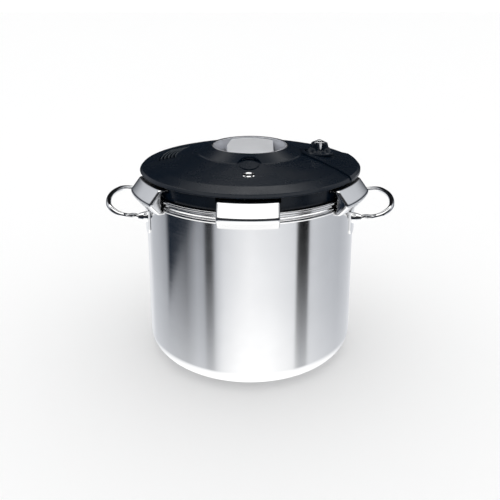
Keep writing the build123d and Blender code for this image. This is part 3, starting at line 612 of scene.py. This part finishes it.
def build():
    """Makes each drawn piece on its body, standing in for the plain parts that it names."""
    pot_body().make("pot_shell", "pot", BODY_STEEL, ["pot_body"], "stainless_steel")
    handle_loop(1).make("loop_right", "pot", BRIGHT_STEEL, ["handle_rod_right"], "polished_steel")
    handle_loop(-1).make("loop_left", "pot", BRIGHT_STEEL, ["handle_rod_left"], "polished_steel")
    handle_collars().make("loop_collars", "pot", BRIGHT_STEEL, ["handle_collars"], "polished_steel")
    lid_dome().make("lid_pressing", "lid", LID_STEEL, ["lid_dome"], "stainless_steel")
    for k in range(6):
        turned = np.radians(-90.0 + 60.0 * k)
        jaw().make(f"clamp_{k + 1}", f"jaw_body_{k + 1}", JAW_STEEL, [f"jaw_{k + 1}"], "satin_steel", turned)
    # The bowl under the bar wears the darker steel, painted shade.
    grip_cup().make("grip_bowl", "grip", BOWL_STEEL_PAINTED_SHADE, ["grip_cup"], "satin_steel")
    grip_bar().make("grip_handle", "grip", GRIP_STEEL, ["grip_bar"], "satin_steel")
    valve_knob().make("dial", "dial", BLACK, ["valve_knob"], "black_plastic")
    indicator_ring().make("eyelet", "lid", BRIGHT_STEEL, ["indicator_ring"], "polished_steel")
    indicator_pin().make("indicator_head", "indicator", BRIGHT_STEEL, ["indicator_pin"], "polished_steel")
    # The vent ribs wear the lighter plastic, a painted sheen for their highlights.
    louvre_ribs().make("vent_ribs", "lid", PAINTED_SHEEN_PLASTIC, (), "black_plastic")


build()

spring(
    "valve_coil", "valve_spring", (VALVE_X, 0), mean=4.8, wire=0.6,
    low=291.35, high=323.1, turns=6,
)
spring(
    "lock_coil", "lock_spring", (0, BUTTON_Y), mean=8.0, wire=0.6,
    low=296.9, high=303.7, turns=3,
)
spring(
    "safety_coil", "safety_spring", (-VALVE_X, 0), mean=4.3, wire=0.5,
    low=286.25, high=291.85, turns=4,
)


# ---- surroundings ----
def bearing(degrees):
    """A compass direction, measured from the front towards the right, as a place on a ramp; the ends of
    the ramp lie behind."""
    return 0.5 + degrees / 360.0


def rise(degrees):
    """An elevation as a place on a ramp of heights."""
    return 0.5 + 0.5 * np.sin(np.radians(degrees))


FLOOR_HALF = 40.0
FLOOR_TONE = (0.95, 0.95, 0.95, 1)
PLAIN_LIGHT = 1.07
MIRROR_LIGHT = 1.25
NIGHT = (0.003, 0.008, 0.017, 1)
GROUND = (1.1, 1.1, 1.1, 1)
# Light panels around the room with dark gaps between them, as the upright wall mirrors them.
PANELS = [
    (0.0, 0.50), (bearing(-150), 0.75), (bearing(-135), 0.50), (bearing(-118), 0.42), (bearing(-100), 0.30),
    (bearing(-72), 0.12), (bearing(-58), 0.34), (bearing(-50), 0.30), (bearing(-47), 0.02),
    (bearing(-40), 0.02), (bearing(-36), 0.45), (bearing(-27), 0.66), (bearing(0), 0.84), (bearing(26), 0.76),
    (bearing(51), 0.66), (bearing(53), 0.0), (bearing(66), 0.0), (bearing(68), 0.58), (bearing(90), 0.50),
    (bearing(115), 0.44), (bearing(134), 0.52), (1.0, 0.75),
]
# The same room near the floor, where the gaps close.
GAPLESS = [
    (0.0, 0.66), (bearing(-118), 0.66), (bearing(-60), 0.64), (bearing(-43), 0.58), (bearing(-30), 0.90),
    (bearing(-10), 1.15), (bearing(20), 1.18), (bearing(48), 0.95), (bearing(59), 0.60), (bearing(72), 0.76),
    (bearing(100), 0.68), (1.0, 0.60),
]
# Above the horizon: dark ahead and behind, grey at the sides and a little behind them.
UPPER = [
    (0.0, 0.004), (bearing(-150), 0.01), (bearing(-138), 0.45), (bearing(-105), 0.55), (bearing(-88), 0.10),
    (bearing(-75), 0.02), (bearing(75), 0.02), (bearing(88), 0.10), (bearing(105), 0.55),
    (bearing(138), 0.45), (bearing(150), 0.01), (1.0, 0.004),
]
# Higher up: bright all round, and brightest behind.
STRIP = [
    (0.0, 2.6), (bearing(-140), 1.6), (bearing(-110), 1.25), (bearing(110), 1.25), (bearing(140), 1.6),
    (1.0, 2.6),
]
# Overhead: bright ahead and at the sides, dark behind.
AHEAD = [
    (0.0, 0.06), (bearing(-130), 0.06), (bearing(-105), 1.25), (bearing(105), 1.25), (bearing(130), 0.06),
    (1.0, 0.06),
]
# Heights at which one of these gives way to the next, from the floor up.
UNDER = [(rise(-62), 1.0), (rise(-45), 0.75), (rise(-33), 0.0)]
REACH = [(rise(-40), 0.0), (rise(-33.5), 0.25), (rise(-31), 0.5), (rise(-28), 0.78), (rise(-23), 1.0)]
BAND = [(rise(-14), 0.0), (rise(-10), 1.0), (rise(11), 1.0), (rise(16), 0.0)]
RISE = [(rise(-2), 0.0), (rise(14), 1.0)]
CEILING = [(rise(42), 0.0), (rise(47), 1.0)]
ZENITH = [(rise(50), 0.0), (rise(56), 1.0)]
# A dark wedge at the left: its right edge slants with the height, its left edge is upright (in radians).
WEDGE_SLOPE = 12.0
WEDGE_EDGE = -4.98
WEDGE_BLUR = (-0.03, 0.08)
WEDGE_LEFT = (-1.80, -1.70)


def studio():
    """Pale floor under plain bright light; mirror-like surfaces see instead a room of panels and dark gaps,
    chosen by compass direction and height."""
    corners = [(-FLOOR_HALF, -FLOOR_HALF, 0), (FLOOR_HALF, -FLOOR_HALF, 0), (FLOOR_HALF, FLOOR_HALF, 0),
               (-FLOOR_HALF, FLOOR_HALF, 0)]
    floor = bpy.data.meshes.new("floor")
    floor.from_pydata(corners, [], [(0, 1, 2, 3)])
    floor_object = bpy.data.objects.new("floor", floor)
    bpy.context.scene.collection.objects.link(floor_object)
    paper = bpy.data.materials.new("pale_floor")
    paper.use_nodes = True
    surface = paper.node_tree.nodes["Principled BSDF"]
    surface.inputs["Base Color"].default_value = FLOOR_TONE
    surface.inputs["Roughness"].default_value = 0.9
    floor.materials.append(paper)
    floor_object.visible_glossy = False

    world = bpy.data.worlds.new("studio")
    bpy.context.scene.world = world
    world.use_nodes = True
    tree = world.node_tree
    tree.nodes.clear()

    def add(kind, links=(), **values):
        return add_node(tree, kind, links, **values)

    def ramp(source, stops):
        """A ramp of brightness whose greys lean a little towards blue."""
        node = add("ShaderNodeValToRGB", [("Fac", source)])
        elements = node.color_ramp.elements
        for place, value in stops[1:-1]:
            elements.new(place)
        for element, (place, value) in zip(elements, stops):
            cool = max(0.0, 1.0 - value)
            element.position = place
            element.color = (value * (1 - 0.06 * cool), value, value * (1 + 0.13 * cool), 1)
        return node.outputs["Color"]

    def span(source, low, high):
        """A value's place between two limits, from nought to one."""
        links = [("Value", source), ("From Min", low), ("From Max", high), ("To Min", 0.0), ("To Max", 1.0)]
        return add("ShaderNodeMapRange", links).outputs[0]

    def mix(share, first, second):
        """Two colours by a share; the second may be one plain colour."""
        return add("ShaderNodeMix", [(0, share), (6, first), (7, second)], data_type="RGBA").outputs[2]

    direction = add("ShaderNodeTexCoord").outputs["Generated"]
    parts = add("ShaderNodeSeparateXYZ", [(0, direction)])
    back = add("ShaderNodeMath", [(0, parts.outputs["Y"]), (1, -1.0)], operation="MULTIPLY")
    compass = add("ShaderNodeMath", [(0, parts.outputs["X"]), (1, back.outputs[0])], operation="ARCTAN2")
    azimuth = compass.outputs[0]
    around = span(azimuth, -np.pi, np.pi)
    height = span(parts.outputs["Z"], -1.0, 1.0)
    low = mix(ramp(height, REACH), ramp(around, GAPLESS), ramp(around, PANELS))
    edge = add("ShaderNodeMath", [(0, height), (1, WEDGE_SLOPE), (2, WEDGE_EDGE)], operation="MULTIPLY_ADD")
    inside = add("ShaderNodeMath", [(0, edge.outputs[0]), (1, azimuth)], operation="SUBTRACT")
    right = span(inside.outputs[0], *WEDGE_BLUR)
    left = span(azimuth, *WEDGE_LEFT)
    wedge = add("ShaderNodeMath", [(0, left), (1, right)], operation="MULTIPLY")
    low = mix(wedge.outputs[0], low, NIGHT)
    low = mix(ramp(height, UNDER), low, GROUND)
    middle = mix(ramp(height, BAND), low, NIGHT)
    high = mix(ramp(height, RISE), middle, ramp(around, UPPER))
    high = mix(ramp(height, CEILING), high, ramp(around, STRIP))
    mirrored = mix(ramp(height, ZENITH), high, ramp(around, AHEAD))
    soft = add("ShaderNodeBackground", [("Color", (1, 1, 1, 1)), ("Strength", PLAIN_LIGHT)])
    glossy = add("ShaderNodeBackground", [("Color", mirrored), ("Strength", MIRROR_LIGHT)])
    path = add("ShaderNodeLightPath")
    chosen = add("ShaderNodeMixShader", [
        (0, path.outputs["Is Glossy Ray"]), (1, soft.outputs[0]), (2, glossy.outputs[0])
    ])
    add("ShaderNodeOutputWorld", [("Surface", chosen.outputs[0])])


studio()

# ---- camera ----
CAMERA_D = 903.0
CAMERA_H = 533.6
CAMERA_TURN = np.radians(0.9)
CAMERA_PITCH = 0.247
CAMERA_SHIFT = -0.19
SENSOR_W = 36.0
VIEW_W = 753.012  # width in millimetres that the frame spans at the distance CAMERA_D

scene = bpy.context.scene
camera_data = bpy.data.cameras.new("camera")
camera = bpy.data.objects.new("camera", camera_data)
scene.collection.objects.link(camera)
scene.camera = camera
camera.location = (CAMERA_D * np.sin(CAMERA_TURN) * MM, -CAMERA_D * np.cos(CAMERA_TURN) * MM, CAMERA_H * MM)
camera.rotation_euler = (np.pi / 2 - CAMERA_PITCH, 0.0, CAMERA_TURN)
camera_data.sensor_width = SENSOR_W
camera_data.lens = SENSOR_W * CAMERA_D / VIEW_W
camera_data.shift_y = CAMERA_SHIFT
camera_data.clip_end = 200.0
scene.view_settings.view_transform = "Standard"
